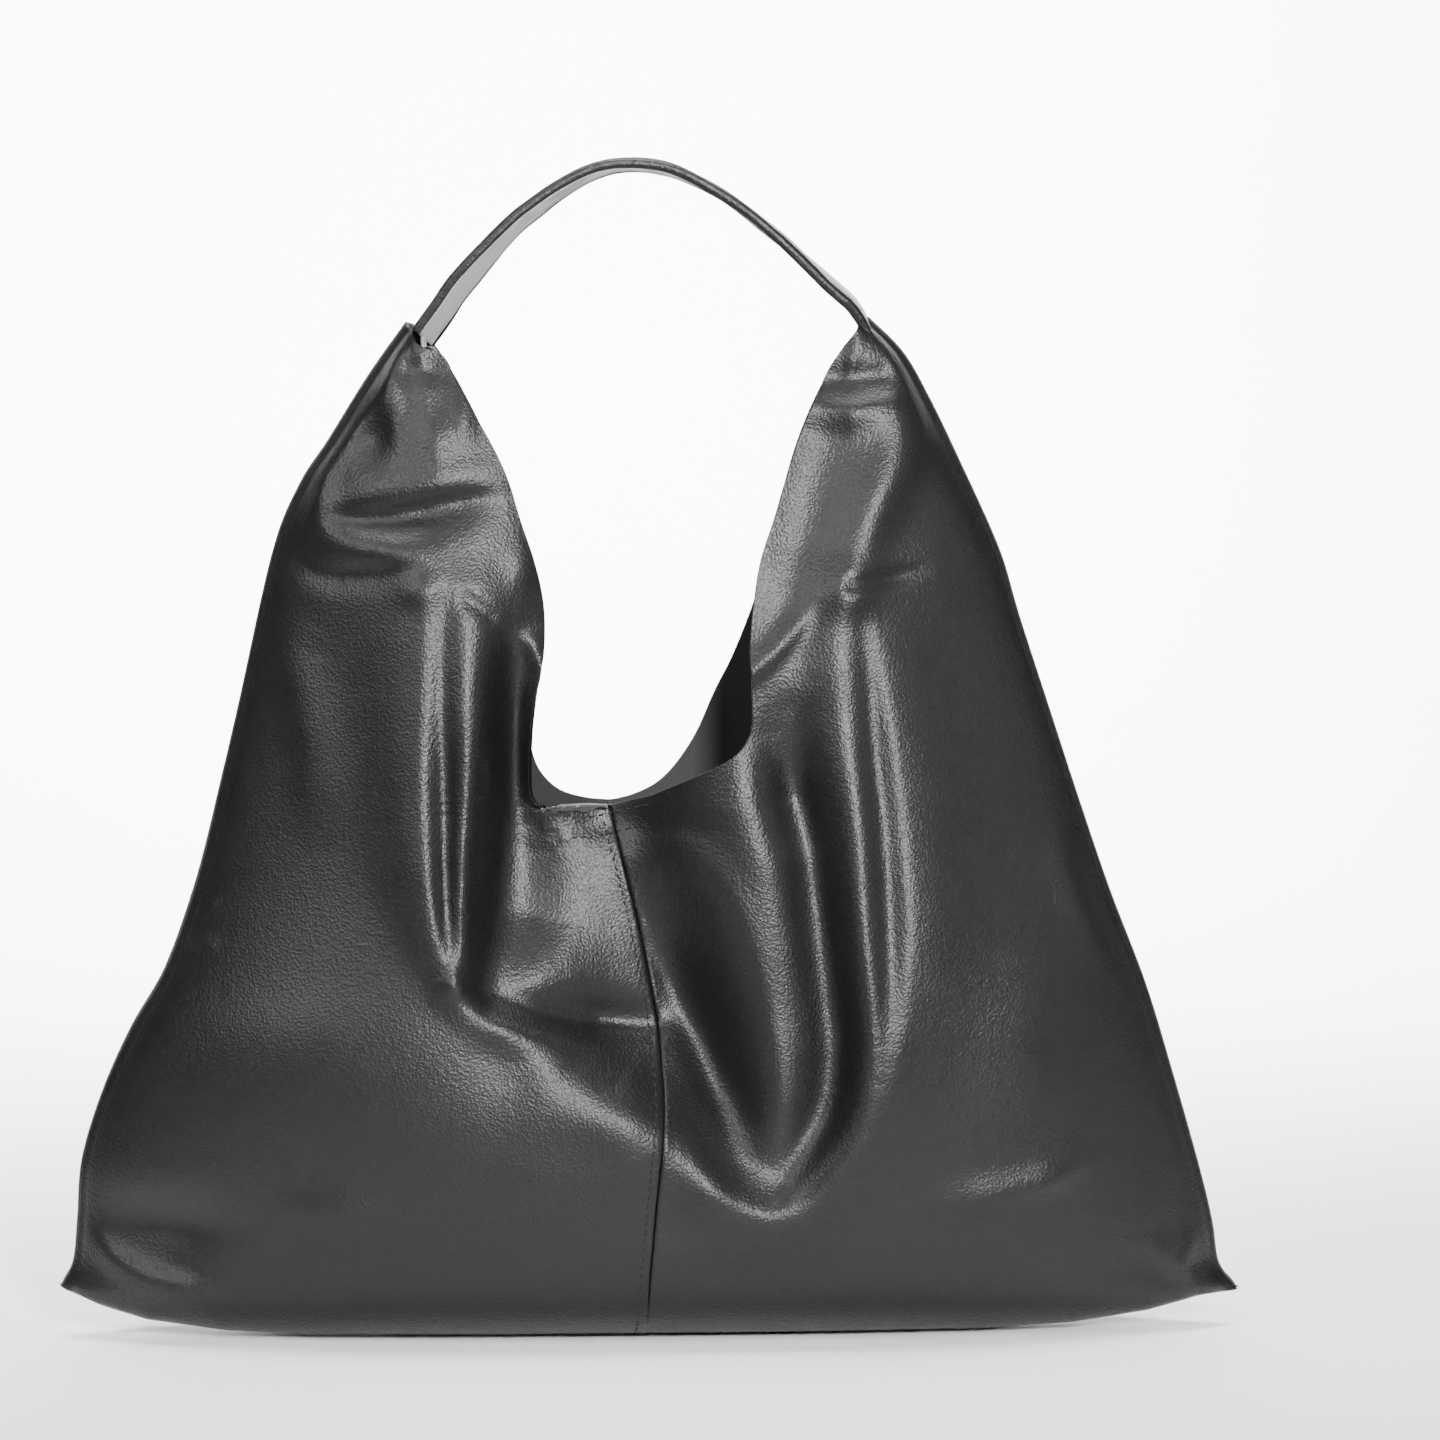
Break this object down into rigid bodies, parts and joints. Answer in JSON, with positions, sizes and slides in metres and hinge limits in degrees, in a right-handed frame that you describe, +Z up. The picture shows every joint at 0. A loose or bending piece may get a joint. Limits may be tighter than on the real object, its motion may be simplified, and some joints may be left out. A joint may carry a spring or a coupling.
{
  "type": "hobo bag",
  "caption": "Large slouchy leather hobo bag with a deep notched mouth, two gathered peaks, a short arched strap, a magnetic snap tab and a hanging zip pocket.",
  "frame": {"origin": "middle of the base, on the surface that the bag stands on", "axes": "+X to the right seen from the front, +Y to the back, +Z up through the strap"},
  "size_m": [0.524, 0.1436, 0.5299],
  "materials": {
    "leather": "soft pebbled charcoal leather with a low sheen",
    "strap_underside": "smooth matt grey leather, raw flesh side",
    "lining": "matt black woven cloth",
    "pocket_cloth": "matt black woven cloth",
    "webbing": "black woven webbing",
    "snap_metal": "polished gunmetal plating",
    "washer_metal": "plain stamped steel",
    "magnet": "dull nickel-plated ring magnet",
    "zip_metal": "polished gunmetal plating",
    "zip_tape": "black twill zip tape"
  },
  "bodies": {
    "bag": {"front_panel_left": "leather", "front_panel_right": "leather", "back_panel_left": "leather", "back_panel_right": "leather", "lining_front": "lining", "lining_back": "lining", "strap_anchor_left": "leather", "strap_anchor_right": "leather", "snap_patch_back": "leather", "snap_socket_base": "snap_metal", "snap_magnet": "magnet", "snap_socket_cover": "snap_metal", "snap_socket_washer": "washer_metal", "pocket_header": "leather"},
    "strap": {"strap_outer": "leather", "strap_core": "webbing", "strap_underside": "strap_underside"},
    "front_tab": {"snap_tab_front": "leather", "snap_stud": "snap_metal", "snap_stud_washer": "washer_metal"},
    "pocket": {"pocket_front": "pocket_cloth", "pocket_back": "pocket_cloth", "zip_tape_upper": "zip_tape", "zip_tape_lower": "zip_tape", "zip_teeth_upper": "zip_metal", "zip_teeth_lower": "zip_metal", "zip_stops": "zip_metal"},
    "slider": {"zip_slider": "zip_metal"},
    "pull": {"zip_pull": "zip_metal"}
  },
  "joints": [
    {"name": "strap_swing", "type": "hinge", "parent": "bag", "child": "strap", "pos_m": [0, 0, 0.457], "axis": [1, 0, 0], "range_deg": [-105, 105]},
    {"name": "front_tab_swing", "type": "hinge", "parent": "bag", "child": "front_tab", "pos_m": [-0.018, -0.0041, 0.238], "axis": [-1, 0, 0], "range_deg": [0, 20]},
    {"name": "pocket_swing", "type": "hinge", "parent": "bag", "child": "pocket", "pos_m": [0, 0.0069, 0.2], "axis": [1, 0, 0], "range_deg": [-12, 20]},
    {"name": "zip_slide", "type": "slide", "parent": "pocket", "child": "slider", "axis": [-1, 0, 0], "range_m": [0, 0.1142]},
    {"name": "pull_turn", "type": "hinge", "parent": "slider", "child": "pull", "pos_m": [0.0391, 0.0012, 0.184], "axis": [0, 0, -1], "range_deg": [0, 180]}
  ]
}
